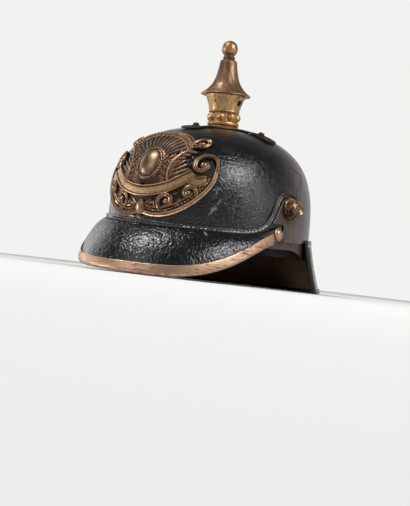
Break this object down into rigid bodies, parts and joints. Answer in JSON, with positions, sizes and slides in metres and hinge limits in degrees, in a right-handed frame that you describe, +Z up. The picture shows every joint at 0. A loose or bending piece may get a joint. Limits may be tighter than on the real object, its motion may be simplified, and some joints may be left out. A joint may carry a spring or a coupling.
{
  "type": "spiked police helmet",
  "caption": "Hard leather spiked helmet with a front peak, a neck guard, an open head hollow, a pierced front plate and posts for a chin strap.",
  "frame": {"origin": "middle of the bounding box at its bottom, on the surface that the helmet stands on", "axes": "+Z up, the wearer faces -Y, +X is towards the wearer's left"},
  "size_m": [0.1926, 0.2764, 0.2224],
  "materials": {
    "black_leather": "aged patent leather, crazed",
    "brown_leather": "worn dark brown leather",
    "brass": "tarnished brass, worn bright on raised parts",
    "copper_trim": "coppery tarnished brass"
  },
  "bodies": {
    "root": {"skull": "black_leather", "sweatband": "brown_leather", "front_peak": "black_leather", "peak_trim": "copper_trim", "seam_band": "black_leather", "neck_guard": "black_leather", "guard_edging": "black_leather", "side_tab_left": "brown_leather", "side_tab_right": "brown_leather", "chinstrap_dish_left": "brass", "chinstrap_post_left": "brass", "peak_rivet_left": "copper_trim", "chinstrap_dish_right": "brass", "chinstrap_post_right": "brass", "peak_rivet_right": "copper_trim", "spike_base": "brass", "base_stud_front": "brass", "base_stud_left": "brass", "base_stud_back": "brass", "base_stud_right": "brass", "spike_neck": "brass", "spike_cap": "brass", "badge": "brass"}
  },
  "joints": []
}
